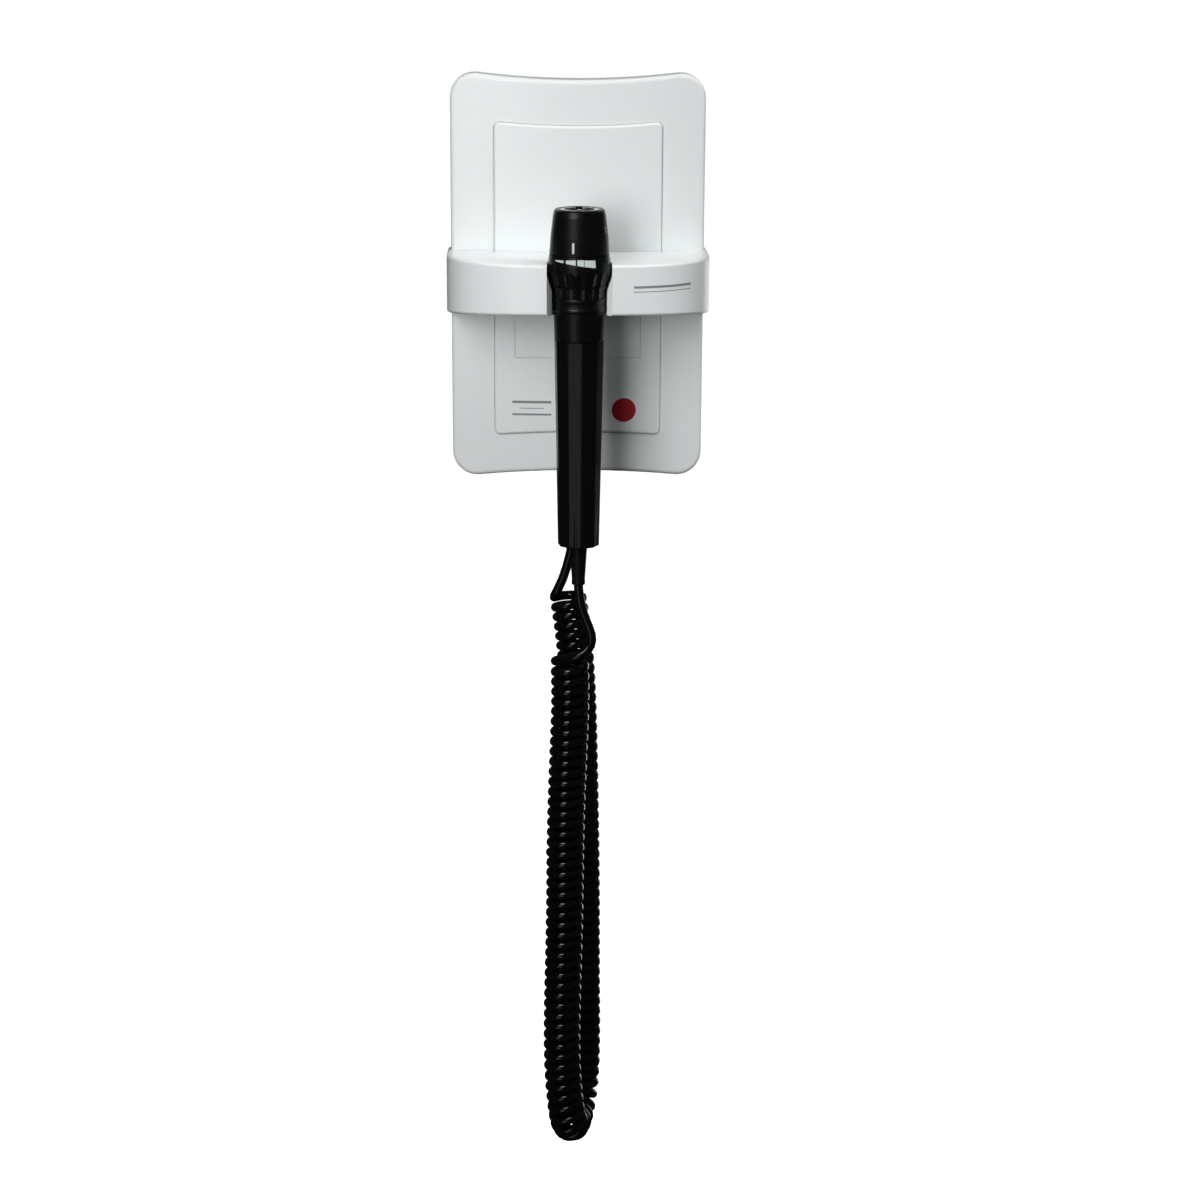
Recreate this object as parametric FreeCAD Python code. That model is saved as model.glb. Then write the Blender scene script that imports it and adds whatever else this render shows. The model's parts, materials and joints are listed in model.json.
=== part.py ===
import FreeCAD, Part
import math
import os

from FreeCAD import Vector

# A wall unit with a cradle that holds one corded instrument handle.
# Millimetres. X is right, -Y is the front, +Z is up. Y = 0 is the wall.
# The origin is the centre of the four wall screws.

# ---- wall unit ----
plate_width = 135.0
plate_mid_height = 208.6  # at the middle, where the bowed edges come closest
plate_corner = 13.0
edge_bow = 450.0  # radius of the bowed top and bottom edges
side_front = 20.0  # depth of the front face at the sides
face_bulge = 6.5  # extra depth at the middle
skin = 2.5
shell_back = 8.0
rear_depth = 14.0
front_rounding = 2.4
wall_screw_x = 52.0
wall_screw_z = 85.0
wall_screw_hole = 2.25
housing_screw_x = 36.0
housing_screw_z = 72.0
boss_top = 20.0
supply_z = 86.0
grommet_bore = 3.5

panel_width = 89.0
panel_top = 80.6
panel_bottom = -82.6
panel_corner = 3.0
panel_depth = 1.2
panel_rise = 1.8
panel_edge = 1.6  # rounding of the panels' front edge
panel_split = 0.1  # the two panels meet behind the cradle, this far above and below the middle
cover_half = 33.5
cover_bottom, cover_top = -42.0, -12.0
split_gap = 0.25
seat_gap = 0.15  # between the cradle's back and what it lies on

board_half_x = 29.0
board_half_z = 60.0
board_back = 7.0
board_thick = 1.6

# ---- cradle ----
cradle_half = 69.5
cradle_front = 82.0
cradle_back = 6.0
cradle_top = 14.6
cradle_low = -18.0
cradle_front_low = -11.3
front_arc = 150.0
corner_arc = 46.0
cradle_wall = 2.5
notch_half = 14.25
mouth_half, mouth_depth = 16.9, 4.0  # the notch opens out towards the front
mouth_front = -81.0  # where the mouth's sides meet the curved front
seat_keep = 20.2
liner_thick = 1.5
liner_low, liner_high = -2.4, 12.9
liner_front = 75.0
cradle_screw_x = 52.0
cradle_screw_zs = (7.0, -7.0)
underside_thick = 2.6
underside_sink = 1.45  # how deep the screw heads sit
underside_screws = ((-46.0, -44.0), (46.0, -44.0), (0.0, -37.0))
sensor_z = 4.0

# ---- handle ----
axis_y = -72.0
head_top = 42.5
head_low = 19.6
core_radius = 10.95
ring_bore = 11.0
ring_top, ring_low = 19.2, -2.6
flute_count = 20
flute_radius = 7.0
flute_lines = (((13.1, -4.0), (13.65, 2.1)), ((13.5, 1.3), (16.0, 9.4)))
neck_low = -10.0
sleeve_low = -25.0
grip_low = -134.5
grip_top_radius, grip_low_radius = 12.75, 10.75
grip_sides = 10
flute_start = -108.0
relief_low = -156.0
relief_top = 4.7  # radius where it enters the grip
lead_radius = 2.6
pin_radius = 1.5
pin_bore = 1.55
spring_low, spring_high = 26.2, 33.4

# ---- cord ----
coil_radius = 10.45
gland_y = -13.0
clamp_seat = 10.35  # depth at which the lead lies on its saddle
wall_lead_route = [
    (0.0, gland_y, -112.0),
    (0.0, -13.0, -123.0),
    (-0.8, -13.2, -138.0),
    (-3.4, -14.2, -154.0),
    (-7.6, -16.2, -168.0),
    (-10.8, -17.6, -177.0),
]
coil_route = [
    (-4.9, -17.0, -176.5),
    (-2.0, -18.2, -193.0),
    (0.9, -20.0, -226.0),
    (2.5, -22.2, -284.0),
    (3.5, -24.6, -342.0),
    (3.7, -26.2, -400.0),
    (4.1, -27.2, -438.0),
    (3.2, -27.4, -466.0),
    (0.2, -39.2, -478.0),
    (-2.8, -56.0, -478.0),
    (-5.6, -68.0, -466.0),
    (-8.2, -68.4, -438.0),
    (-8.4, -69.0, -404.0),
    (-7.0, -70.3, -346.0),
    (-6.6, -71.4, -288.0),
    (-4.9, -72.0, -244.0),
    (-3.9, -72.2, -215.0),
    (-4.6, -72.0, -198.5),
]
handle_lead_route = [
    (0.0, axis_y, relief_low),
    (0.1, -72.0, -162.0),
    (1.4, -72.8, -169.0),
    (4.4, -74.6, -176.5),
    (7.3, -76.9, -184.0),
    (5.9, -78.9, -190.6),
    (1.2, -79.9, -194.2),
    (-2.6, -80.1, -195.2),
]

bulge_radius = ((plate_width / 2) ** 2 + face_bulge**2) / (2 * face_bulge)
bulge_y = bulge_radius - side_front - face_bulge  # centre of the convex face
handle_axis = Vector(0, axis_y, 0)
along_y = Vector(0, 1, 0)
towards_front = Vector(0, -1, 0)
upward = Vector(0, 0, 1)


# ---- shape helpers ----
def block(x0, x1, y0, y1, z0, z1):
    return Part.makeBox(x1 - x0, y1 - y0, z1 - z0, Vector(x0, y0, z0))


def rod(radius, start, direction, length):
    return Part.makeCylinder(radius, length, Vector(*start), direction)


def face_of(points):
    corners = [Vector(*p) for p in points]
    return Part.Face(Part.makePolygon(corners + corners[:1]))


def turned(profile):
    """A closed outline of (radius, height) points, turned about the handle's axis."""
    outline = face_of([(r, axis_y, z) for r, z in profile])
    return outline.revolve(handle_axis, upward, 360)


def arc_edge(a, b, c):
    return Part.Arc(Vector(*a), Vector(*b), Vector(*c)).toShape()


def line_edge(a, b):
    return Part.LineSegment(Vector(*a), Vector(*b)).toShape()


def fillet_where(shape, radius, test):
    return shape.makeFillet(radius, [e for e in shape.Edges if test(e)])


def bowed_block(width, low, high, corner, back, front):
    """A block whose top and bottom edges bow inwards; low and high are its heights at the middle."""
    half = width / 2
    drop = edge_bow - math.sqrt(edge_bow**2 - half**2)
    top_left, top_right = (-half, -back, high + drop), (half, -back, high + drop)
    low_left, low_right = (-half, -back, low - drop), (half, -back, low - drop)
    outline = Part.Wire([
        arc_edge(top_left, (0, -back, high), top_right),
        line_edge(top_right, low_right),
        arc_edge(low_right, (0, -back, low), low_left),
        line_edge(low_left, top_left),
    ])
    solid = Part.Face(outline).extrude(Vector(0, back - front, 0))
    return fillet_where(solid, corner, lambda e: abs(e.tangentAt(e.FirstParameter).y) > 0.99)


def bulge(offset):
    """Everything behind the convex front face, moved forwards by offset."""
    return rod(bulge_radius + offset, (0, bulge_y, -150), upward, 300)


def bulge_at(x):
    """How deep the convex face is at x."""
    return math.sqrt(bulge_radius**2 - x**2) - bulge_y


def d_block(inset, back, low, high):
    """The cradle's D outline, moved inwards by inset, as a block."""
    half = cradle_half - inset
    front_centre = front_arc - cradle_front
    reach = front_arc - corner_arc
    corner_x = cradle_half - corner_arc
    corner_y = front_centre - math.sqrt(reach**2 - corner_x**2)
    share = (front_arc - inset) / reach
    join_x, join_y = corner_x * share, front_centre + (corner_y - front_centre) * share
    r = corner_arc - inset
    mid = math.atan2((join_y - corner_y), (join_x - corner_x)) / 2
    mid_x, mid_y = corner_x + r * math.cos(mid), corner_y + r * math.sin(mid)
    apex = -(cradle_front - inset)
    outline = Part.Wire([
        line_edge((-half, -back, low), (half, -back, low)),
        line_edge((half, -back, low), (half, corner_y, low)),
        arc_edge((half, corner_y, low), (mid_x, mid_y, low), (join_x, join_y, low)),
        arc_edge((join_x, join_y, low), (0, apex, low), (-join_x, join_y, low)),
        arc_edge((-join_x, join_y, low), (-mid_x, mid_y, low), (-half, corner_y, low)),
        line_edge((-half, corner_y, low), (-half, -back, low)),
    ])
    return Part.Face(outline).extrude(Vector(0, 0, high - low))


def underside_at(depth):
    """Height of the cradle's sloping underside at a depth in front of the wall."""
    slope = (cradle_front_low - cradle_low) / (cradle_front - side_front)
    return cradle_low + slope * (depth - side_front)


def below_underside(lift):
    """Everything below the cradle's rising underside, moved up by lift."""
    far = cradle_front + 10
    points = [
        (-90, 0, -60),
        (-90, 0, underside_at(0) + lift),
        (-90, -far, underside_at(far) + lift),
        (-90, -far, -60),
    ]
    return face_of(points).extrude(Vector(180, 0, 0))


def swept_tube(route, radius):
    """A tube along straight runs joined by arcs as large as the runs allow."""
    points = [Vector(*p) for p in route]
    edges, radii, start = [], [], points[0]
    for before, corner, after in zip(points, points[1:], points[2:]):
        into, out = (corner - before), (after - corner)
        reach = 0.45 * min(into.Length, out.Length)
        turn = into.getAngle(out)
        radii.append(reach / math.tan(turn / 2))
        into.normalize()
        out.normalize()
        first, last = corner - into * reach, corner + out * reach
        towards_centre = (out - into).normalize()
        centre = corner + towards_centre * (radii[-1] / math.cos(turn / 2))
        middle = centre - towards_centre * radii[-1]
        edges.append(Part.LineSegment(start, first).toShape())
        edges.append(Part.Arc(first, middle, last).toShape())
        start = last
    edges.append(Part.LineSegment(start, points[-1]).toShape())
    path = Part.Wire(edges)
    heading = (points[1] - points[0]).normalize()
    section = Part.Wire(Part.makeCircle(radius, points[0], heading))
    tube = path.makePipeShell([section], True, False)
    expected = math.pi * radius**2 * path.Length
    print(
        "tube: length %.1f, volume %.4f of section times length, radii %s"
        % (path.Length, tube.Volume / expected, [round(r, 1) for r in radii])
    )
    return tube


def screw(head_at, direction, head_radius, head_height, shank_radius, length):
    """A pan-head screw whose head starts at head_at and whose shank runs along direction."""
    head = rod(head_radius, head_at, direction, head_height)
    slot_across = block(-head_radius, head_radius, -0.3, 0.3, -0.1, head_height * 0.55)
    slot_across.Placement = FreeCAD.Placement(
        Vector(*head_at), FreeCAD.Rotation(upward, direction)
    )
    under = Vector(*head_at) + direction * head_height
    return head.cut(slot_across).fuse(rod(shank_radius, under, direction, length))


def group(shapes):
    return Part.makeCompound(shapes)


def four(x, z):
    return [(sx * x, sz * z) for sx in (-1, 1) for sz in (-1, 1)]


# ---- the wall unit's pieces ----
def gland_hole(radius):
    return rod(radius, (0, gland_y, -125), upward, 33)


def rear_housing():
    inset = skin + 0.1
    half_height = plate_mid_height / 2
    walls = bowed_block(
        plate_width - 2 * inset, inset - half_height, half_height - inset,
        plate_corner - inset, 0, rear_depth,
    )
    inset += skin
    hollow = bowed_block(
        plate_width - 2 * inset, inset - half_height, half_height - inset,
        plate_corner - inset, skin, rear_depth + 1,
    )
    tray = walls.cut(hollow)
    for x, z in four(housing_screw_x, housing_screw_z):
        boss = rod(4.0, (x, -skin, z), towards_front, boss_top - skin)
        tray = tray.fuse(boss).cut(rod(1.3, (x, -boss_top, z), along_y, 12))
    for x, z in four(board_half_x - 4, board_half_z - 5):
        post = rod(3.0, (x, -skin, z), towards_front, board_back - skin)
        tray = tray.fuse(post).cut(rod(1.0, (x, -board_back, z), along_y, 4))
    for x, z in four(wall_screw_x, wall_screw_z):
        collar = rod(5.5, (x, -skin, z), towards_front, 1.5)
        tray = tray.fuse(collar).cut(rod(wall_screw_hole, (x, -10, z), along_y, 12))
    saddle = block(-9, 9, -clamp_seat, -skin, -88, -80)
    tray = tray.fuse(saddle)
    for x in (-6, 6):
        tray = tray.cut(rod(1.0, (x, -clamp_seat, -84), along_y, 6))
    tray = tray.cut(rod(5.0, (0, -5, supply_z), along_y, 10))
    return tray.cut(gland_hole(3.6)).removeSplitter()


def plate_outside(grow, back):
    half_height = plate_mid_height / 2 + grow
    solid = bowed_block(
        plate_width + 2 * grow, -half_height, half_height, plate_corner, back, 40
    )
    return solid.common(bulge(grow))


def panel_block(low, high, grow, corner):
    return bowed_block(panel_width + 2 * grow, low - grow, high + grow, corner, 10, 40)


def panel_area(upper, grow):
    """The upper or lower panel's outline as a block; the cradle covers the joint between them."""
    whole = panel_block(panel_bottom, panel_top, grow, panel_corner + grow)
    if upper:
        return whole.cut(block(-60, 60, -50, 0, -120, panel_split - grow))
    return whole.cut(block(-60, 60, -50, 0, grow - panel_split, 120))


def front_shell():
    outer = plate_outside(0, shell_back)

    def on_front(edge):
        low, high = edge.BoundBox.YMin, edge.BoundBox.YMax
        return high < -side_front + 0.5 and low < -side_front + 0.1

    shell = fillet_where(outer, front_rounding, on_front)
    half_height = plate_mid_height / 2 - skin
    inner = bowed_block(
        plate_width - 2 * skin, -half_height, half_height, plate_corner - skin, 0, 40
    ).common(bulge(-skin))
    shell = shell.cut(inner)
    for upper in (True, False):
        shell = shell.cut(panel_area(upper, split_gap).cut(bulge(-panel_depth)))
    for x, z in four(housing_screw_x, housing_screw_z):
        column = rod(4.0, (x, -boss_top - 0.05, z), towards_front, 2.6)
        shell = shell.fuse(column)
        shell = shell.cut(rod(1.7, (x, -15, z), towards_front, 20))
        spot_face = rod(3.2, (x, panel_depth - bulge_at(x), z), towards_front, 5)
        shell = shell.cut(spot_face)
    for x in (-cradle_screw_x, cradle_screw_x):
        for z in cradle_screw_zs:
            shell = shell.cut(rod(1.7, (x, -15, z), towards_front, 20))
    return shell.cut(gland_hole(3.6)).removeSplitter()


def panel(upper):
    solid = panel_area(upper, 0).common(bulge(panel_rise)).cut(bulge(-panel_depth))

    def on_face(edge):
        middle = edge.valueAt((edge.FirstParameter + edge.LastParameter) / 2)
        on_cylinder = abs(math.hypot(middle.x, middle.y - bulge_y) - bulge_radius - panel_rise)
        hidden = abs(middle.z) < 1
        return on_cylinder < 0.01 and not hidden

    solid = fillet_where(solid, panel_edge, on_face)
    for x, z in four(housing_screw_x, housing_screw_z):
        if (z > 0) == upper:
            recess = rod(3.4, (x, -15, z), towards_front, bulge_at(x) + 0.9 - 15)
            solid = solid.cut(recess)
    return solid


def cover_area(grow):
    half = cover_half + grow
    return block(-half, half, -50, 0, cover_bottom - grow, cover_top + grow)


def upper_panel():
    return panel(True)


def lower_panel():
    return panel(False).cut(cover_area(0.2).cut(bulge(0.2)))


def service_cover():
    return cover_area(0).common(bulge(panel_rise)).cut(bulge(0.25))


def housing_screws():
    solids = []
    for x, z in four(housing_screw_x, housing_screw_z):
        under_head = bulge_at(x) - panel_depth
        solids.append(screw((x, -under_head - 1.9, z), along_y, 2.9, 1.9, 1.2, 13))
    return group(solids)


def cord_gland():
    edge = -plate_mid_height / 2
    profile = [
        (lead_radius, edge - 7.7), (3.4, edge - 7.7), (4.4, edge - 2.5), (4.9, edge - 0.3),
        (4.9, edge - 0.1), (3.5, edge - 0.1), (3.5, edge + 2 * skin + 0.3),
        (4.6, edge + 2 * skin + 0.3), (4.6, edge + 2 * skin + 2.3),
        (lead_radius, edge + 2 * skin + 2.3),
    ]
    outline = face_of([(r, gland_y, z) for r, z in profile])
    return outline.revolve(Vector(0, gland_y, 0), upward, 360)


def inner_lead():
    return rod(lead_radius, (0, gland_y, -112), upward, 58)


def cord_clamp():
    bridge = block(-9, 9, -17.6, -clamp_seat, -88, -80)
    bridge = bridge.cut(rod(lead_radius, (0, gland_y, -90), upward, 12))
    for x in (-6, 6):
        bridge = bridge.cut(rod(1.3, (x, -18, -84), along_y, 8))
    return bridge


def clamp_screws():
    return group([screw((x, -19.2, -84), along_y, 2.2, 1.6, 1.0, 12) for x in (-6, 6)])


def supply_grommet():
    ring = rod(5.0, (0, 0, supply_z), towards_front, 2.5)
    ring = ring.fuse(rod(6.6, (0, -2.5, supply_z), towards_front, 1.6))
    return ring.cut(rod(grommet_bore, (0, 1, supply_z), towards_front, 8)).removeSplitter()


def main_board():
    front = -board_back
    board = block(
        -board_half_x, board_half_x, front - board_thick, front, -board_half_z, board_half_z
    )
    for x, z in four(board_half_x - 4, board_half_z - 5):
        board = board.cut(rod(1.3, (x, 0, z), towards_front, 12))
    return board


def board_screws():
    top = -board_back - board_thick
    positions = four(board_half_x - 4, board_half_z - 5)
    return group([screw((x, top - 1.4, z), along_y, 2.2, 1.4, 0.95, 5) for x, z in positions])


def on_board(x0, x1, height, z0, z1):
    top = -board_back - board_thick
    return block(x0, x1, top - height, top, z0, z1)


def capacitors():
    top = -board_back - board_thick
    solids = []
    for x in (-18, -5, 8):
        can = rod(5.0, (x, top, 36), towards_front, 10.5)
        solids.append(can.makeFillet(0.6, [can.Edges[0], can.Edges[2]]))
    return group(solids)


def inductor():
    top = -board_back - board_thick
    return rod(9.0, (14, top, 12), towards_front, 7).cut(rod(4.2, (14, top, 12), towards_front, 7))


def heat_sink():
    base = on_board(-24, -4, 2, -6, 26)
    fins = [on_board(x, x + 1.2, 9, -6, 26) for x in (-24, -19.3, -14.6, -9.9, -5.2)]
    return base.multiFuse(fins).removeSplitter()


def transformer():
    core = on_board(-16, 16, 10.5, -40, -14)
    windings = on_board(-12, 12, 9.5, -44, -40)
    return core.fuse(windings).removeSplitter()


def terminal_block():
    solid = on_board(-11, 11, 9, 48, 57)
    top = -board_back - board_thick
    for x in (-5.5, 5.5):
        solid = solid.cut(rod(2.0, (x, top - 9, 52.5), along_y, 3))
        solid = solid.cut(rod(1.7, (x, top - 3.4, 50), upward, 10))
    return solid


def lead_connector():
    return on_board(-7, 7, 9, -54, -46)


# ---- the cradle's pieces ----
def seat_radius(z):
    """Radius of the seat that the control ring rests in."""
    steps = [(-20.0, 14.25), (0.6, 14.25), (8.5, 16.65), (cradle_top + 0.1, 16.75)]
    for (z0, r0), (z1, r1) in zip(steps, steps[1:]):
        if z <= z1:
            return r0 + (r1 - r0) * (z - z0) / (z1 - z0)
    return steps[-1][1]


def seat_outline(grow):
    heights = (-30.0, 0.6, 8.5, cradle_top + 1)
    return [(seat_radius(z) + grow, z) for z in heights]


def seat_space(grow):
    outline = seat_outline(grow)
    return turned([(0, outline[0][1])] + outline + [(0, outline[-1][1])])


def seat_entry():
    """The seat's outline carried forwards, so that the ring can come in from the front."""
    right = seat_outline(0)
    left = [(-x, z) for x, z in reversed(right)]
    return face_of([(x, axis_y, z) for x, z in right + left]).extrude(towards_front * 25)


def notch_space():
    """The seat and its entry, with a mouth that opens out towards the front."""
    deep, far = mouth_front + mouth_depth, -95.0
    spread = (mouth_half - notch_half) / mouth_depth
    far_half = mouth_half + spread * (mouth_front - far)
    mouth = face_of([
        (-notch_half, deep, -30), (notch_half, deep, -30), (far_half, far, -30), (-far_half, far, -30),
    ])
    return seat_entry().fuse(seat_space(0)).fuse(mouth.extrude(upward * 50))


def notch_walls():
    wall = 3.0
    keep = block(-notch_half - wall, notch_half + wall, -95, axis_y, -40, 20)
    keep = keep.fuse(rod(notch_half + wall, (0, axis_y, -40), upward, 60))
    keep = keep.fuse(rod(seat_keep, (0, axis_y, -3.5), upward, 25))
    return keep.fuse(block(-seat_keep, seat_keep, -95, axis_y, -3.5, 21.5))


def cradle_hollow(inset):
    hollow = d_block(inset, side_front, -60, cradle_top - cradle_wall)
    return hollow.cut(bulge(cradle_wall + panel_rise + seat_gap)).cut(notch_walls())


def liner_solid():
    ring = seat_space(liner_thick).cut(seat_space(0))
    ring = ring.common(block(-40, 40, -liner_front, 0, liner_low, liner_high))
    return ring.cut(seat_entry())


def cradle_shell():
    outer = d_block(0, cradle_back, cradle_low, cradle_top).cut(below_underside(0))

    def top_edge(edge):
        box = edge.BoundBox
        return box.ZMin > cradle_top - 0.01 and box.YMin < -cradle_back - 1

    outer = fillet_where(outer, 1.6, top_edge)

    def low_edge(edge):
        box = edge.BoundBox
        return box.ZMax < cradle_front_low + 0.5 and box.YMin < -cradle_back - 1

    outer = fillet_where(outer, 1.6, low_edge)
    shell = outer.cut(plate_outside(seat_gap, -1))
    panels = panel_block(panel_bottom, panel_top, seat_gap, panel_corner + seat_gap)
    shell = shell.cut(panels.common(bulge(panel_rise + seat_gap)))
    shell = shell.cut(cradle_hollow(cradle_wall))
    inside = d_block(cradle_wall, side_front, -40, cradle_top - cradle_wall)
    for x in (-cradle_screw_x, cradle_screw_x):
        for z in cradle_screw_zs:
            start = bulge_at(x) + 1.0
            boss = rod(3.6, (x, -start, z), towards_front, 11)
            shell = shell.fuse(boss.common(inside))
            shell = shell.cut(rod(1.2, (x, 0, z), towards_front, start + 9))
    for x, y in underside_screws:
        post = rod(3.2, (x, y, -30), upward, cradle_top + 29)
        post = post.common(inside).cut(below_underside(underside_thick))
        shell = shell.fuse(post).cut(rod(1.2, (x, y, -20), upward, 22))
    shell = shell.cut(notch_space()).cut(liner_solid())
    shell = shell.cut(rod(2.5, (0, -45, sensor_z), towards_front, 20))
    return shell.removeSplitter()


def seat_liner():
    return liner_solid().cut(rod(2.5, (0, -45, sensor_z), towards_front, 20))


def sensor_window():
    front = -axis_y - seat_radius(sensor_z) - 0.4
    back = -axis_y - seat_keep
    return rod(2.45, (0, -back, sensor_z), towards_front, front - back)


def sensor_board():
    back = -axis_y - seat_keep
    board = block(-8, 8, -back + 0.1, -back + 1.7, sensor_z - 9, sensor_z + 6)
    return board.fuse(block(-2, 2, -back + 1.7, -back + 3.2, sensor_z - 2, sensor_z + 2))


def cradle_underside():
    plate = d_block(cradle_wall + 0.1, side_front, -40, 20)
    plate = plate.cut(bulge(cradle_wall + panel_rise + 0.25)).cut(below_underside(0.3))
    plate = plate.common(below_underside(underside_thick))
    wall = 3.1
    keep = block(-notch_half - wall, notch_half + wall, -95, axis_y, -40, 20)
    keep = keep.fuse(rod(notch_half + wall, (0, axis_y, -40), upward, 60))
    plate = plate.cut(keep)
    for x, y in underside_screws:
        plate = plate.cut(rod(1.5, (x, y, -30), upward, 30))
        sunk_to = underside_at(-y) + 0.3 + underside_sink
        plate = plate.cut(rod(2.7, (x, y, -30), upward, 30 + sunk_to))
    return plate


def underside_fixings():
    solids = []
    for x, y in underside_screws:
        face = underside_at(-y) + 0.3
        solids.append(screw((x, y, face + 0.3), upward, 2.5, underside_sink - 0.35, 1.15, 10))
    return group(solids)


def cradle_screws():
    solids = []
    for x in (-cradle_screw_x, cradle_screw_x):
        for z in cradle_screw_zs:
            inner_face = bulge_at(x) - skin - 0.4
            solids.append(screw((x, -inner_face + 2.0, z), towards_front, 2.9, 1.7, 1.15, 12))
    return group(solids)


# ---- the handle's pieces ----
head_outside = [(12.2, head_top), (13.1, head_top - 0.8), (13.75, 38.7), (14.9, 28.5), (15.45, head_low)]
ring_outside = [
    (15.6, ring_top), (16.25, 14.1), (16.3, 12.6), (16.3, 9.6), (16.1, 8.0),
    (15.3, 5.9), (14.1, 1.7), (13.9, -0.3), (13.75, ring_low),
]


def head_shell():
    inside = [(13.0, head_low), (12.6, 33.5), (10.35, 35.4), (10.35, head_top)]
    return turned(head_outside + inside).cut(index_solids())


def around(angle, radius, z):
    """A point on the handle; angle 0 is the front, and positive is to the right."""
    a = math.radians(angle)
    return Vector(radius * math.sin(a), axis_y - radius * math.cos(a), z)


def index_solids():
    skin_ring = turned(head_outside + [(15.0, head_low), (14.4, 28.5), (13.2, 38.7), (11, head_top)])
    bar = block(-0.6, 0.6, -20, -5, 21.1, 26.6)
    bar.Placement = FreeCAD.Placement(handle_axis, FreeCAD.Rotation(upward, -13))
    marks = [bar.common(skin_ring)]
    for z in (33.2, 31.5):
        dot = Part.makeCylinder(0.4, 10, around(66, 10, z), around(66, 1, 0) - handle_axis)
        marks.append(dot.common(skin_ring))
    return group(marks)


def index_mark():
    return index_solids()


def bayonet_collar():
    ring = turned([(8.0, 35.6), (10.3, 35.6), (10.3, head_top - 0.2), (8.0, head_top - 0.2)])
    for side in (-1, 1):
        low_y, high_y = sorted((axis_y + side * 7, axis_y + side * 12))
        ring = ring.cut(block(-1.6, 1.6, low_y, high_y, 39.2, 50))
    return ring


def contact_insulator():
    return turned([
        (pin_bore, 36.0), (7.95, 36.0), (7.95, 38.6), (2.9, 38.6), (2.5, 39.6), (pin_bore, 39.6),
    ])


def contact_pin():
    return turned([
        (0, 31.0), (1.2, 31.0), (1.2, 33.5), (2.6, 33.5), (2.6, 35.4), (pin_radius, 35.4),
        (pin_radius, 41.4), (1.1, 42.0), (0, 42.2),
    ])


def contact_spring():
    wire_radius = 0.28
    turns_height = spring_high - spring_low - 2 * wire_radius
    helix = Part.makeHelix(turns_height / 6, turns_height, 2.0)
    section = Part.Wire(Part.makeCircle(wire_radius, Vector(2.0, 0, 0), Vector(0, 1, 0)))
    spring = Part.Wire(helix.Edges).makePipeShell([section], True, True)
    spring.translate(handle_axis + upward * (spring_low + wire_radius))
    return spring


def control_core():
    profile = [
        (6.0, -30.0), (9.85, -30.0), (9.85, -10.2), (core_radius, -10.2), (core_radius, 11.8),
        (10.3, 11.8), (10.3, 15.2), (core_radius, 15.2), (core_radius, 19.5), (12.8, 19.5),
        (12.8, 23.5), (9.0, 23.5), (9.0, 24.2), (3.2, 24.2), (3.2, 27.5), (2.75, 27.5),
        (2.75, 26.0), (0, 26.0), (0, 22.5), (6.0, 22.5),
    ]
    core = turned(profile)
    pocket = block(-3.2, 3.2, axis_y + 9.6, axis_y + 12, 16.0, 19.0)
    return core.cut(pocket).removeSplitter()


def detent_spring():
    return block(-2.9, 2.9, axis_y + 9.7, axis_y + 10.2, 16.2, 18.8)


def dimmer_track():
    ring = turned([(10.3, 12.0), (10.85, 12.0), (10.85, 15.0), (10.3, 15.0)])
    return ring.cut(block(-3, 3, axis_y - 14, axis_y, 10, 17))


def wedge_solids():
    """The brightness scale: a wedge in segments, let into the ring's upper surface."""
    inner = [(r - 0.45, z) for r, z in ring_outside[:3]]
    surface = turned(ring_outside[:3] + inner[::-1])
    lower = face_of([(-20, -95, -5), (-20, -95, 17.9), (20, -95, 12.1), (20, -95, -5)])
    upper = face_of([(-20, -95, 30), (-20, -95, 17.1), (0, -95, 18.1), (20, -95, 17.1), (20, -95, 30)])
    band = surface.cut(lower.extrude(Vector(0, 40, 0))).cut(upper.extrude(Vector(0, 40, 0)))
    segments = []
    for start, end in ((-52.0, -32.0), (-26.5, -7.5), (-4.7, 7.5), (8.6, 30.0)):
        a, b = around(start, 25, 5), around(end, 25, 5)
        middle = around((start + end) / 2, 30, 5)
        pie = Part.Face(Part.makePolygon([handle_axis + upward * 5, a, middle, b, handle_axis + upward * 5]))
        segments.append(band.common(pie.extrude(Vector(0, 0, 20))))
    return group(segments)


def dimmer_ring():
    ring = turned(ring_outside + [(ring_bore, ring_low), (ring_bore, ring_top)])
    recess = turned([(ring_bore - 0.5, 11.5), (12.7, 11.5), (12.7, 15.5), (ring_bore - 0.5, 15.5)])
    ring = ring.cut(recess)
    for n in range(flute_count):
        angle = 360.0 * n / flute_count + 1
        for (r0, z0), (r1, z1) in flute_lines:
            low, high = around(angle, r0 + flute_radius, z0), around(angle, r1 + flute_radius, z1)
            axis = high - low
            ring = ring.cut(Part.makeCylinder(flute_radius, axis.Length, low, axis))
    return ring.cut(wedge_solids())


def brightness_wedge():
    return wedge_solids()


def ring_wiper():
    arc = turned([(11.7, 11.8), (12.6, 11.8), (12.6, 15.2), (11.7, 15.2)])
    arc = arc.common(block(4, 14, axis_y, axis_y + 12, 10, 17))
    finger = turned([(11.25, 13.0), (11.8, 13.0), (11.8, 14.0), (11.25, 14.0)])
    return arc.fuse(finger.common(block(7, 14, axis_y + 3, axis_y + 7, 10, 17))).removeSplitter()


def neck_ring():
    profile = [
        (core_radius, -2.9), (13.7, -2.9), (13.85, -3.3), (13.85, -4.2), (13.5, -5.2), (13.35, -6.4),
        (13.55, -7.6), (13.85, -8.4), (13.85, -9.3), (13.4, neck_low), (core_radius, neck_low),
    ]
    return turned(profile)


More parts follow.
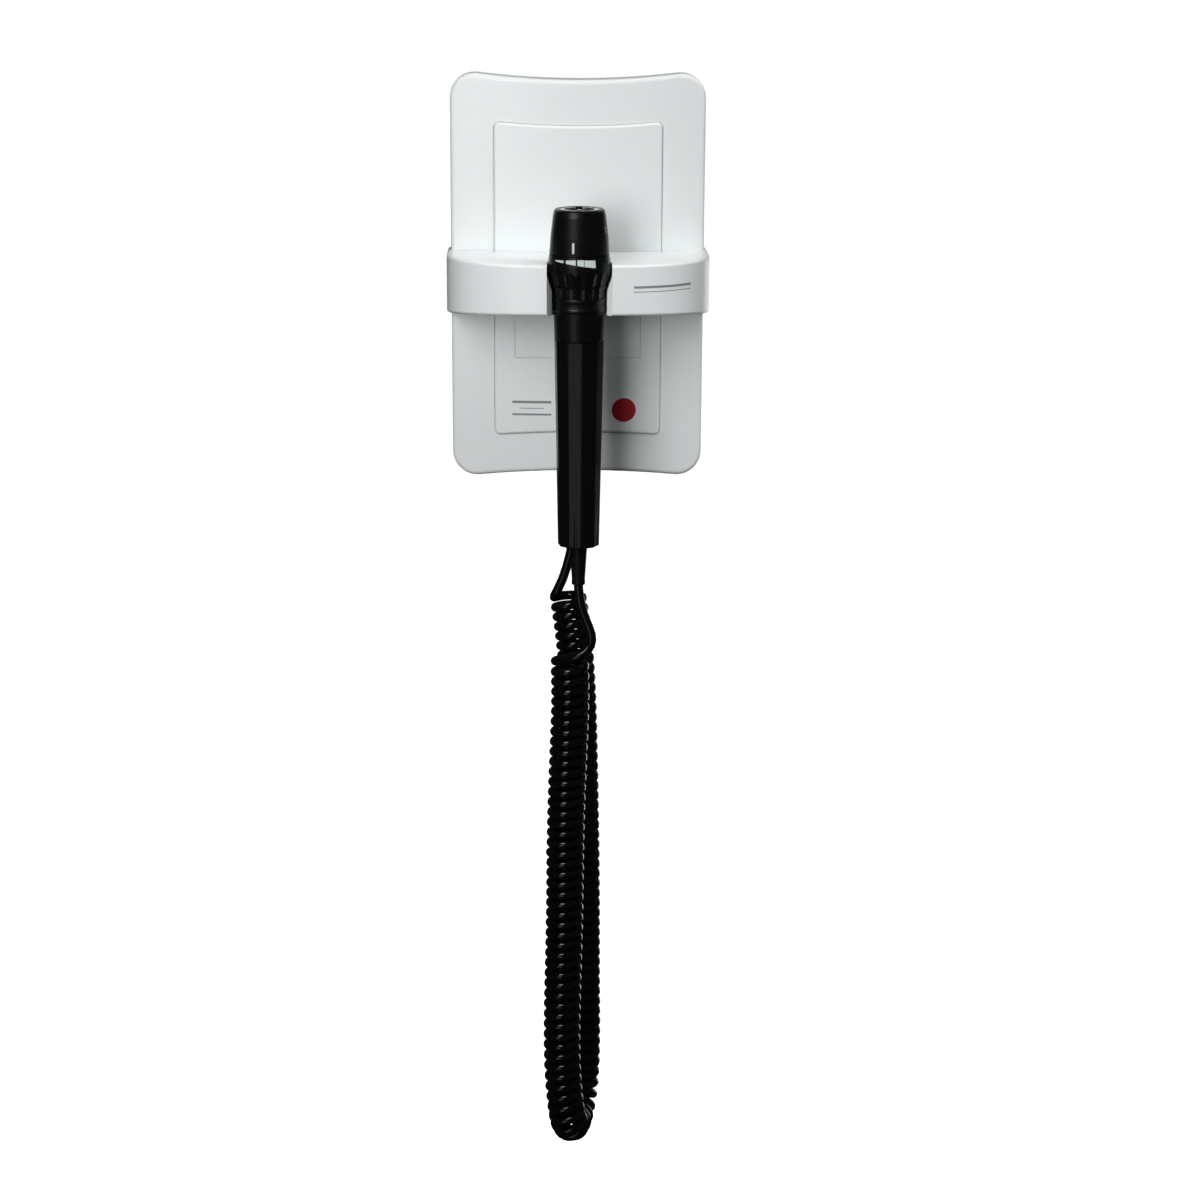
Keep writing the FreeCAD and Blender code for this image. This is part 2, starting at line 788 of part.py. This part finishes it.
def upper_sleeve():
    return turned([
        (9.9, -10.2), (9.9, neck_low - 0.2), (13.25, neck_low - 0.2), (13.3, -10.8),
        (12.85, -24.6), (12.6, sleeve_low), (9.9, sleeve_low),
    ])


def grip_outline(radius, z):
    corners = [around(360.0 * n / grip_sides + 8, radius, z) for n in range(grip_sides)]
    return Part.makePolygon(corners + corners[:1])


def grip_body():
    corner_share = 1 / math.cos(math.pi / grip_sides) * 0.985
    top, low = grip_top_radius * corner_share, grip_low_radius * corner_share
    body = Part.makeLoft(
        [grip_outline(top, sleeve_low - 0.2), grip_outline(low, grip_low)], True, True
    )
    body = fillet_where(body, 3.0, lambda e: e.BoundBox.ZLength > 50)
    body = fillet_where(body, 0.9, lambda e: e.BoundBox.ZMax < grip_low + 0.5)
    for n in range(grip_sides):
        angle = 360.0 * (n + 0.5) / grip_sides + 8
        start = around(angle, grip_low_radius + 2.93, flute_start + 2)
        end = around(angle, grip_low_radius + 2.05, grip_low - 2)
        axis = end - start
        body = body.cut(Part.makeCylinder(2.5, axis.Length, start, axis))
    bore = turned([(0, grip_low + 2.2), (8.2, grip_low + 2.2), (10.0, sleeve_low + 1), (0, sleeve_low + 1)])
    return body.cut(bore).cut(rod(relief_top + 0.05, (0, axis_y, grip_low - 1), upward, 6))


def strain_relief():
    profile = [
        (lead_radius, relief_low), (3.4, relief_low), (3.6, relief_low + 0.4), (3.6, relief_low + 2.2),
        (3.5, relief_low + 2.4), (relief_top, grip_low - 0.2), (relief_top, grip_low + 2.4),
        (6.4, grip_low + 2.4), (6.4, grip_low + 5.0), (lead_radius, grip_low + 5.0),
    ]
    return turned(profile)


def cord_anchor():
    return turned([
        (lead_radius, grip_low + 5.2), (7.2, grip_low + 5.2),
        (7.2, grip_low + 13), (lead_radius, grip_low + 13),
    ])


def handle_inner_lead():
    return rod(lead_radius, (0, axis_y, relief_low), upward, 62)


def lead_socket():
    return turned([(0, -93.9), (5.0, -93.9), (5.0, -86.0), (0, -86.0)])


def handle_board():
    return block(-4.2, 4.2, axis_y - 0.8, axis_y + 0.8, -85.8, 21.5)


def driver_parts():
    parts = [
        block(-3.5, 3.5, axis_y - 3.4, axis_y - 0.8, -62, -50),
        block(-2.5, 2.5, axis_y - 2.4, axis_y - 0.8, -44, -39),
        block(-3, 3, axis_y + 0.8, axis_y + 3.0, -70, -60),
        rod(2.0, (0, axis_y - 0.8, -30), towards_front, 3.2),
    ]
    return group(parts)


# ---- the cord's solids ----
def wall_lead():
    return swept_tube(wall_lead_route, lead_radius)


def coiled_cord():
    return swept_tube(coil_route, coil_radius)


def handle_lead():
    return swept_tube(handle_lead_route, lead_radius)


pieces = [
    rear_housing, front_shell, upper_panel, lower_panel, service_cover, housing_screws,
    cord_gland, inner_lead, cord_clamp, clamp_screws, supply_grommet,
    main_board, board_screws, capacitors, inductor, heat_sink, transformer, terminal_block,
    lead_connector, cradle_shell, seat_liner, sensor_window, sensor_board, cradle_underside,
    underside_fixings, cradle_screws,
    head_shell, index_mark, bayonet_collar, contact_insulator, contact_pin, contact_spring,
    control_core, detent_spring, dimmer_track, dimmer_ring, brightness_wedge, ring_wiper,
    neck_ring, upper_sleeve, grip_body, strain_relief, cord_anchor, handle_inner_lead,
    lead_socket, handle_board, driver_parts,
    wall_lead, coiled_cord, handle_lead,
]

os.makedirs("parts", exist_ok=True)
for make in pieces:
    shape = make()
    shape.exportStep("parts/%s.step" % make.__name__)
    solids = shape.Solids
    valid = all(s.isValid() for s in solids)
    state = "ok" if valid else "BAD"
    print("%-20s %d solid(s) %10.1f mm3 %s" % (make.__name__, len(solids), shape.Volume, state))
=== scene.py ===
import json
import math

import bmesh
import bpy
import numpy as np
from mathutils import Matrix, Vector


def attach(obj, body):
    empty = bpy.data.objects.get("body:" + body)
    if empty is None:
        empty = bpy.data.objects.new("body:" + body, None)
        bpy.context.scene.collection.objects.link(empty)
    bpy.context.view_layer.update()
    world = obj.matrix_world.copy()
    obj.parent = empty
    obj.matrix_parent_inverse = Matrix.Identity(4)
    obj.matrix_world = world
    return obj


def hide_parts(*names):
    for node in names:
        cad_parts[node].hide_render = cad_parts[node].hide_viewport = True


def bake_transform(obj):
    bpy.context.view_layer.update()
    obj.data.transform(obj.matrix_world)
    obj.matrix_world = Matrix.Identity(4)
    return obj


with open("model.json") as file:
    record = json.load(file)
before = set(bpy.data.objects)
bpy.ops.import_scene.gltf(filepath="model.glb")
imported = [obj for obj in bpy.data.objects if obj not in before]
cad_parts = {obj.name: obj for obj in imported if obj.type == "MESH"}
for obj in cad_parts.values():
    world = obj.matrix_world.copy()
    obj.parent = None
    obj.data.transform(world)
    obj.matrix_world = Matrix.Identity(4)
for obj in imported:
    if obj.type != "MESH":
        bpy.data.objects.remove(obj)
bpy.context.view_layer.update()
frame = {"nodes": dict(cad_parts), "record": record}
print("frame loaded")

mm = 0.001


# camera

cameraView = {
    "lens": 79.26,
    "sensor": 36,
    "lookAt": (0.0129, -0.020, -0.1785),
    "distance": 1.46,
    "down": 14.75,  # degrees, as the next two
    "fromLeft": 1.5,
    "roll": 0.3,
}


def makeCamera():
    down = math.radians(cameraView["down"])
    turn = math.radians(cameraView["fromLeft"])
    level = math.cos(down)
    forward = Vector((math.sin(turn) * level, math.cos(turn) * level, -math.sin(down)))
    data = bpy.data.cameras.new("camera")
    data.lens = cameraView["lens"]
    data.sensor_width = cameraView["sensor"]
    camera = bpy.data.objects.new("camera", data)
    bpy.context.collection.objects.link(camera)
    camera.location = Vector(cameraView["lookAt"]) - cameraView["distance"] * forward
    facing = forward.to_track_quat("-Z", "Y").to_matrix().to_4x4()
    facing = facing @ Matrix.Rotation(math.radians(cameraView["roll"]), 4, "Z")
    camera.rotation_euler = facing.to_euler()
    bpy.context.scene.camera = camera


makeCamera()
print("camera placed")


# materials: a mottled colour, a mottled roughness and a fine grain

mottling = {
    "rough": 0.55,
    "spread": (0.3, 0.7),  # the part of the noise that the roughness runs over
    "toneDetail": 3.0,
    "sheenDetail": 4.0,
    "grainDetail": 2.0,
}


def newMaterial(name):
    material = bpy.data.materials.new(name)
    material.use_nodes = True
    tree = material.node_tree
    shader = tree.nodes["Principled BSDF"]
    return material, tree, shader


def addNode(tree, kind, **values):
    node = tree.nodes.new(kind)
    for key, value in values.items():
        if key in node.inputs:
            node.inputs[key].default_value = value
        else:
            setattr(node, key, value)
    return node


def mottled(tree, source, scale, detail):
    noise = addNode(
        tree, "ShaderNodeTexNoise", Scale=scale, Detail=detail, Roughness=mottling["rough"],
    )
    tree.links.new(source, noise.inputs["Vector"])
    return noise.outputs["Fac"]


def ramp(tree, source, low, high):
    mix = addNode(tree, "ShaderNodeMix", data_type="RGBA")
    tree.links.new(source, mix.inputs[0])
    # 6 and 7 are the node's colour inputs, 2 its colour output
    mix.inputs[6].default_value = (*low, 1)
    mix.inputs[7].default_value = (*high, 1)
    return mix.outputs[2]


def remap(tree, source, low, high):
    node = addNode(tree, "ShaderNodeMapRange")
    node.inputs["From Min"].default_value = mottling["spread"][0]
    node.inputs["From Max"].default_value = mottling["spread"][1]
    node.inputs["To Min"].default_value = low
    node.inputs["To Max"].default_value = high
    tree.links.new(source, node.inputs["Value"])
    return node.outputs["Result"]


def makeFinish(name, look):
    material, tree, shader = newMaterial(name)
    place = addNode(tree, "ShaderNodeTexCoord").outputs["Object"]
    tone = mottled(tree, place, look["toneScale"], mottling["toneDetail"])
    tree.links.new(ramp(tree, tone, look["dark"], look["light"]), shader.inputs["Base Color"])
    sheen = mottled(tree, place, look["roughScale"], mottling["sheenDetail"])
    tree.links.new(remap(tree, sheen, *look["rough"]), shader.inputs["Roughness"])
    bump = addNode(tree, "ShaderNodeBump", Distance=look["grainDepth"], Strength=1.0)
    grain = mottled(tree, place, look["grainScale"], mottling["grainDetail"])
    tree.links.new(grain, bump.inputs["Height"])
    tree.links.new(bump.outputs["Normal"], shader.inputs["Normal"])
    shader.inputs["Metallic"].default_value = look.get("metal", 0.0)
    shader.inputs["Specular IOR Level"].default_value = look.get("specular", 0.5)
    return material


# finishes of the wall unit and its cradle

whitePlastic = {
    "dark": (0.80, 0.83, 0.83), "light": (0.83, 0.86, 0.86), "toneScale": 18,
    "rough": (0.32, 0.35), "roughScale": 25, "grainScale": 2500, "grainDepth": 0.0000006,
}
cradlePlastic = dict(whitePlastic, rough=(0.28, 0.31))
trayPlastic = {
    "dark": (0.62, 0.63, 0.63), "light": (0.67, 0.68, 0.68), "toneScale": 15,
    "rough": (0.50, 0.60), "roughScale": 50, "grainScale": 900, "grainDepth": 0.00003,
}
linerRubber = {
    "dark": (0.50, 0.51, 0.51), "light": (0.56, 0.57, 0.57), "toneScale": 30,
    "rough": (0.55, 0.65), "roughScale": 80, "grainScale": 1200, "grainDepth": 0.00003,
}

# finishes of the handle

headPlastic = {
    "dark": (0.0018, 0.0020, 0.0022), "light": (0.0028, 0.0031, 0.0034), "toneScale": 40,
    "rough": (0.32, 0.36), "roughScale": 60, "grainScale": 2500, "grainDepth": 0.000001,
    "specular": 0.38,
}
gripPlastic = dict(headPlastic, rough=(0.28, 0.32), grainDepth=0.000002)
ringPlastic = dict(headPlastic, rough=(0.26, 0.30), specular=0.45)
innerPlastic = dict(
    headPlastic, rough=(0.45, 0.55), dark=(0.02, 0.02, 0.02), light=(0.03, 0.03, 0.03),
)
reliefRubber = dict(headPlastic, rough=(0.42, 0.50), grainDepth=0.000004)
cordJacket = {
    "dark": (0.0016, 0.0017, 0.0018), "light": (0.0026, 0.0027, 0.0028), "toneScale": 60,
    "rough": (0.06, 0.09), "roughScale": 120, "grainScale": 2000, "grainDepth": 0.000001,
}
markInk = {
    "dark": (0.50, 0.56, 0.54), "light": (0.58, 0.63, 0.61), "toneScale": 200,
    "rough": (0.40, 0.50), "roughScale": 200, "grainScale": 2000, "grainDepth": 0.00001,
}
collarMetal = {
    "dark": (0.66, 0.65, 0.63), "light": (0.80, 0.79, 0.77), "toneScale": 300,
    "rough": (0.22, 0.34), "roughScale": 500, "grainScale": 3000, "grainDepth": 0.00001,
    "metal": 1.0,
}
contactMetal = dict(collarMetal, dark=(0.86, 0.80, 0.62), light=(0.92, 0.87, 0.70))
screwMetal = dict(collarMetal, dark=(0.50, 0.50, 0.49), light=(0.62, 0.62, 0.60))

# finishes of the parts inside

boardLacquer = {
    "dark": (0.02, 0.13, 0.06), "light": (0.03, 0.18, 0.08), "toneScale": 120,
    "rough": (0.30, 0.40), "roughScale": 200, "grainScale": 700, "grainDepth": 0.00004,
}
canSleeve = dict(boardLacquer, dark=(0.03, 0.04, 0.12), light=(0.04, 0.06, 0.16))
copperWire = dict(
    contactMetal, dark=(0.50, 0.24, 0.10), light=(0.66, 0.34, 0.16), grainDepth=0.0001,
)
sinkMetal = dict(collarMetal, dark=(0.52, 0.53, 0.54), light=(0.62, 0.63, 0.64))
coreLacquer = dict(boardLacquer, dark=(0.03, 0.03, 0.035), light=(0.06, 0.06, 0.07))
terminalPlastic = dict(boardLacquer, dark=(0.03, 0.18, 0.08), light=(0.05, 0.24, 0.11))
sensorWindow = dict(
    headPlastic, dark=(0.03, 0.006, 0.01), light=(0.04, 0.01, 0.014), rough=(0.08, 0.12),
)
carbonTrack = dict(innerPlastic, rough=(0.6, 0.7))

finishes = {
    "shell_white": whitePlastic, "panel_white": whitePlastic, "tray_grey": trayPlastic,
    "cradle_white": cradlePlastic, "underside_grey": trayPlastic, "liner_grey": linerRubber,
    "handle_black": headPlastic, "grip_black": gripPlastic, "ring_black": ringPlastic,
    "marking_white": markInk, "inner_black": innerPlastic, "collar_metal": collarMetal,
    "contact_metal": contactMetal, "spring_steel": screwMetal, "screw_steel": screwMetal,
    "board_green": boardLacquer, "sleeve_blue": canSleeve, "coil_copper": copperWire,
    "sink_aluminium": sinkMetal, "core_dark": coreLacquer, "terminal_green": terminalPlastic,
    "driver_black": innerPlastic, "window_dark": sensorWindow, "relief_black": reliefRubber,
    "cord_black": cordJacket, "track_carbon": carbonTrack,
}
materials = {name: makeFinish(name, look) for name, look in finishes.items()}
nodeSlots = {part["node"]: part["material_slot"] for part in frame["record"]["subparts"]}
for nodeName, node in frame["nodes"].items():
    for slot in node.material_slots:
        slot.material = materials[nodeSlots[nodeName]]
print("finishes on", len(nodeSlots), "pieces")


# the cord

cordLook = {
    "diameter": 5.2 * mm,
    "coilRadius": 7.85 * mm,  # to the middle of the wire
    "pitch": [  # mm along the route, mm from turn to turn
        (0, 5.55), (80, 5.60), (200, 5.85), (285, 6.20),
        (330, 6.30), (375, 6.20), (480, 5.85), (607, 5.60),
    ],
    "touching": 4.2 * mm,  # least room for a turn on the inside of the bend
    "mostBend": 0.8,  # of the coil's radius over the bend's
    "routeRings": 24,
    "routeSteps": 2400,
    "bendSteps": 41,  # steps that the bend is averaged over
    "pointsPerTurn": 12,
    "ringsPerPoint": 2,
    "sides": 12,
}
# the route in mm: the lead at the wall unit, the coil's middle line and the lead to the handle
wallLead = [
    (0.0, -13.0, -112.0), (0.0, -13.0, -123.0), (-0.8, -13.2, -138.0),
    (-3.4, -14.2, -154.0), (-7.6, -16.2, -168.0),
]
coilLine = [
    (-4.9, -17.0, -176.5), (-2.0, -18.2, -193.0), (0.9, -20.0, -226.0), (2.5, -22.2, -284.0),
    (3.5, -24.6, -342.0), (3.7, -26.2, -400.0), (4.1, -27.2, -438.0), (3.2, -27.4, -466.0),
    (0.2, -39.2, -478.0), (-2.8, -56.0, -478.0), (-5.6, -68.0, -466.0), (-8.2, -68.4, -438.0),
    (-8.4, -69.0, -404.0), (-7.0, -70.3, -346.0), (-6.6, -71.4, -288.0), (-4.9, -72.0, -244.0),
    (-3.9, -72.2, -215.0), (-4.6, -72.0, -198.5),
]
handleLead = [
    (-2.6, -80.1, -194.8), (2.6, -79.8, -192.8), (7.0, -78.6, -188.2), (7.2, -76.6, -182.5),
    (4.2, -74.6, -176.0), (1.4, -72.8, -168.0), (0.2, -72.0, -161.0), (0.0, -72.0, -156.0),
]


def nurbsCurve(name, points, rings, bevel=0.0):
    data = bpy.data.curves.new(name, "CURVE")
    data.dimensions = "3D"
    spline = data.splines.new("NURBS")
    spline.points.add(len(points) - 1)
    for point, place in zip(spline.points, points):
        point.co = (*place, 1)
    spline.order_u = 3
    spline.use_endpoint_u = True
    spline.resolution_u = rings
    data.resolution_u = rings
    data.bevel_depth = bevel
    data.bevel_resolution = cordLook["sides"] // 2 - 2  # gives twice this and 4 sides
    data.use_fill_caps = bevel > 0
    curve = bpy.data.objects.new(name, data)
    bpy.context.collection.objects.link(curve)
    return curve


def meshOf(curve, name):
    bpy.context.view_layer.update()
    evaluated = curve.evaluated_get(bpy.context.evaluated_depsgraph_get())
    mesh = bpy.data.meshes.new_from_object(evaluated)
    mesh.name = name
    return mesh


def linePoints(points, rings):
    curve = nurbsCurve("cordLine", points, rings)
    mesh = meshOf(curve, "cordLine")
    line = np.array([v.co for v in mesh.vertices])
    bpy.data.objects.remove(curve)
    bpy.data.meshes.remove(mesh)
    return line


def runAlong(line):
    steps = np.linalg.norm(np.diff(line, axis=0), axis=1)
    return np.concatenate([[0], np.cumsum(steps)])


def turnsAlong(at, heading):
    # turns counted from the coil's start, a whole number in all
    bend = np.linalg.norm(np.gradient(heading, at, axis=0), axis=1)
    bend = np.convolve(bend, np.ones(cordLook["bendSteps"]) / cordLook["bendSteps"], "same")
    tightness = np.clip(bend * cordLook["coilRadius"], 0, cordLook["mostBend"])
    room = cordLook["touching"] / (1 - tightness)
    marks = np.array(cordLook["pitch"]) * mm
    pitch = np.maximum(np.interp(at, marks[:, 0], marks[:, 1]), room)
    turns = np.concatenate([[0], np.cumsum(np.diff(at) / pitch[1:])])
    whole = round(turns[-1])
    turns *= whole / turns[-1]
    return turns, whole


def helixPoints():
    line = linePoints([Vector(p) * mm for p in coilLine], cordLook["routeRings"])
    run = runAlong(line)
    at = np.linspace(0, run[-1], cordLook["routeSteps"])
    centre = np.stack([np.interp(at, run, line[:, k]) for k in range(3)], axis=1)
    heading = np.gradient(centre, at, axis=0)
    heading /= np.linalg.norm(heading, axis=1)[:, None]
    turns, whole = turnsAlong(at, heading)
    total = whole * cordLook["pointsPerTurn"]
    place = np.interp(np.linspace(0, whole, total + 1), turns, at)
    # the curve runs a little inside its points, so they stand further out
    swell = 1 / (0.75 + 0.25 * math.cos(2 * math.pi / cordLook["pointsPerTurn"]))
    radius = cordLook["coilRadius"] * swell
    points = []
    for step, s in enumerate(place):
        c = Vector([np.interp(s, at, centre[:, k]) for k in range(3)])
        t = Vector([np.interp(s, at, heading[:, k]) for k in range(3)]).normalized()
        side = Vector((1, 0, 0))
        side = (side - t * side.dot(t)).normalized()
        other = t.cross(side)
        angle = math.pi + 2 * math.pi * step / cordLook["pointsPerTurn"]
        points.append(c + radius * (math.cos(angle) * side + math.sin(angle) * other))
    print("cord turns", whole)
    return points


def makeCord():
    points = [Vector(p) * mm for p in wallLead]
    points += helixPoints()
    points += [Vector(p) * mm for p in handleLead]
    rings = cordLook["ringsPerPoint"]
    line = linePoints(points, rings)
    curve = nurbsCurve("cordTube", points, rings, cordLook["diameter"] / 2)
    mesh = meshOf(curve, "cord")
    bpy.data.objects.remove(curve)
    cord = bpy.data.objects.new("cord", mesh)
    bpy.context.collection.objects.link(cord)
    for face in mesh.polygons:
        face.use_smooth = len(face.vertices) == 4  # the end caps stay flat
    mesh.materials.clear()
    mesh.materials.append(materials["cord_black"])
    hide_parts("wall_lead", "coiled_cord", "handle_lead")
    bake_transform(cord)


makeCord()
print("cord made")


# printed marks, plain bars and a dot, with the fronts they lie on, in mm

markLook = {"thick": 0.05, "columns": 16, "rows": 2, "dotSides": 48, "dotRings": 4}
plateShape = {"side": 20.0, "bulge": 6.5, "halfWidth": 67.5, "panelRise": 1.8}
bandShape = {"front": 82.0, "frontArc": 150.0, "half": 69.5, "cornerArc": 46.0}


def panelFront(x):
    half, bulge = plateShape["halfWidth"], plateShape["bulge"]
    radius = (half**2 + bulge**2) / (2 * bulge)
    outer = radius + plateShape["panelRise"]
    return -(math.sqrt(outer**2 - x**2) - radius + plateShape["side"] + bulge)


def bandFront(x):
    middle = bandShape["frontArc"] - bandShape["front"]
    cornerX = bandShape["half"] - bandShape["cornerArc"]
    reach = bandShape["frontArc"] - bandShape["cornerArc"]
    cornerY = middle - math.sqrt(reach**2 - cornerX**2)
    join = cornerX * bandShape["frontArc"] / reach
    if abs(x) < join:
        return middle - math.sqrt(bandShape["frontArc"] ** 2 - x**2)
    return cornerY - math.sqrt(bandShape["cornerArc"] ** 2 - (abs(x) - cornerX) ** 2)


def finishMark(bm, name, material):
    bmesh.ops.recalc_face_normals(bm, faces=bm.faces)
    mesh = bpy.data.meshes.new(name)
    bm.to_mesh(mesh)
    bm.free()
    mesh.materials.append(material)
    mark = bpy.data.objects.new(name, mesh)
    bpy.context.collection.objects.link(mark)
    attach(mark, "wall_unit")


def wrapPatch(bm, centre, front):
    # a flat patch in X and Y becomes a thin solid on the curved front
    for v in bm.verts:
        x = v.co.x + centre[0]
        v.co = Vector((x, front(x), v.co.y + centre[1]))
    grown = bmesh.ops.extrude_face_region(bm, geom=bm.faces[:])
    for item in grown["geom"]:
        if isinstance(item, bmesh.types.BMVert):
            item.co.y -= markLook["thick"]
    for v in bm.verts:
        v.co *= mm


def makeBar(name, centre, size, front, material):
    bm = bmesh.new()
    columns, rows = markLook["columns"], markLook["rows"]
    bmesh.ops.create_grid(bm, x_segments=columns, y_segments=rows, size=0.5)
    bmesh.ops.scale(bm, vec=(size[0], size[1], 1), verts=bm.verts)
    wrapPatch(bm, centre, front)
    finishMark(bm, name, material)


def makeDot(name, centre, radius, front, material):
    bm = bmesh.new()
    rings = markLook["dotRings"]
    bmesh.ops.create_circle(bm, cap_ends=True, segments=markLook["dotSides"], radius=radius)
    for _ in range(rings):
        widest = max(bm.faces, key=lambda face: face.calc_area())
        bmesh.ops.inset_region(bm, faces=[widest], thickness=radius / (rings + 1))
    wrapPatch(bm, centre, front)
    finishMark(bm, name, material)


greyInk = dict(markInk, dark=(0.20, 0.22, 0.23), light=(0.25, 0.27, 0.28))
redInk = dict(markInk, dark=(0.36, 0.012, 0.02), light=(0.42, 0.02, 0.03))
greyPrint = makeFinish("print_grey", greyInk)
redPrint = makeFinish("print_red", redInk)
makeBar("plate_mark_long", (-24.6, -66.2), (21.0, 1.3), panelFront, greyPrint)
makeBar("plate_mark_thin", (-24.6, -69.6), (13.0, 0.4), panelFront, greyPrint)
makeBar("plate_mark_short", (-24.6, -73.0), (21.0, 1.0), panelFront, greyPrint)
makeDot("plate_dot", (25.0, -70.5), 6.5, panelFront, redPrint)
makeBar("band_mark", (43.0, 3.0), (30.0, 1.2), bandFront, greyPrint)
makeBar("band_mark_thin", (43.0, 0.6), (30.0, 0.4), bandFront, greyPrint)
print("marks printed")


# floor and light

studio = {
    "floorHeight": -0.72,
    "floorReach": 60,
    "floorTone": (0.93, 0.93, 0.93),
    "floorRough": 0.9,
    "floorGlow": 1.0,
    "ambient": 0.02,
    "backdrop": 1.0,
    "aim": (0, -0.03, 0),
}

# degrees to the right of the front and above the horizon, metres, watts;
# gloss says whether a sheen shows the lamp
softBoxes = {
    "gripLine": {
        "right": -25, "above": -18, "away": 2.2, "power": 1.7, "size": 0.9, "gloss": True,
    },
    "bandLine": {
        "right": -25, "above": 8, "away": 2.2, "power": 1.6, "size": 0.9, "gloss": True,
    },
    "frontFill": {
        "right": -22, "above": 8, "away": 0.75, "power": 2.25, "size": 0.31, "gloss": False,
    },
    "sideFill": {
        "right": 75, "above": 8, "away": 2.2, "power": 11.0, "size": 0.9, "gloss": False,
    },
    "key": {
        "right": -25, "above": 30, "away": 0.75, "power": 1.65, "size": 0.31, "gloss": True,
    },
    "highSide": {
        "right": 75, "above": 52, "away": 2.2, "power": 13.5, "size": 0.9, "gloss": False,
    },
    "top": {
        "right": 60, "above": 78, "away": 2.2, "power": 17.0, "size": 0.9, "gloss": False,
    },
    "rimLine": {
        "right": 150, "above": -16, "away": 2.2, "power": 4.0, "size": 0.9, "gloss": True,
    },
}


def makeFloor():
    bm = bmesh.new()
    bmesh.ops.create_grid(bm, x_segments=1, y_segments=1, size=studio["floorReach"])
    bmesh.ops.translate(bm, verts=bm.verts, vec=(0, 0, studio["floorHeight"]))
    mesh = bpy.data.meshes.new("floor")
    bm.to_mesh(mesh)
    bm.free()
    floor = bpy.data.objects.new("floor", mesh)
    bpy.context.collection.objects.link(floor)
    material, _, shader = newMaterial("floor")
    shader.inputs["Base Color"].default_value = (*studio["floorTone"], 1)
    shader.inputs["Roughness"].default_value = studio["floorRough"]
    shader.inputs["Specular IOR Level"].default_value = 0.0
    shader.inputs["Emission Color"].default_value = (1, 1, 1, 1)
    shader.inputs["Emission Strength"].default_value = studio["floorGlow"]
    mesh.materials.append(material)
    floor.visible_glossy = False
    floor.visible_diffuse = False
    floor.visible_shadow = False


def makeWorld():
    world = bpy.data.worlds.new("studio")
    world.use_nodes = True
    tree = world.node_tree
    room = tree.nodes["Background"]
    room.inputs["Strength"].default_value = studio["ambient"]
    room.inputs["Color"].default_value = (1, 1, 1, 1)
    backdrop = addNode(tree, "ShaderNodeBackground", Strength=studio["backdrop"])
    backdrop.inputs["Color"].default_value = (1, 1, 1, 1)
    seen = addNode(tree, "ShaderNodeLightPath")
    mix = addNode(tree, "ShaderNodeMixShader")
    tree.links.new(seen.outputs["Is Camera Ray"], mix.inputs[0])
    tree.links.new(room.outputs[0], mix.inputs[1])
    tree.links.new(backdrop.outputs[0], mix.inputs[2])
    tree.links.new(mix.outputs[0], tree.nodes["World Output"].inputs["Surface"])
    bpy.context.scene.world = world


def makeLight(name, box):
    data = bpy.data.lights.new(name, "AREA")
    data.energy = box["power"]
    data.shape = "SQUARE"
    data.size = box["size"]
    right = math.radians(box["right"])
    above = math.radians(box["above"])
    level = math.cos(above)
    place = Vector((math.sin(right) * level, -math.cos(right) * level, math.sin(above)))
    place *= box["away"]
    lamp = bpy.data.objects.new(name, data)
    bpy.context.collection.objects.link(lamp)
    lamp.location = place
    aim = Vector(studio["aim"]) - place
    lamp.rotation_euler = aim.to_track_quat("-Z", "Y").to_euler()
    lamp.visible_camera = False
    lamp.visible_glossy = box["gloss"]


makeFloor()
makeWorld()
for name, box in softBoxes.items():
    makeLight(name, box)
bpy.context.scene.view_settings.view_transform = "Standard"
print("studio ready")
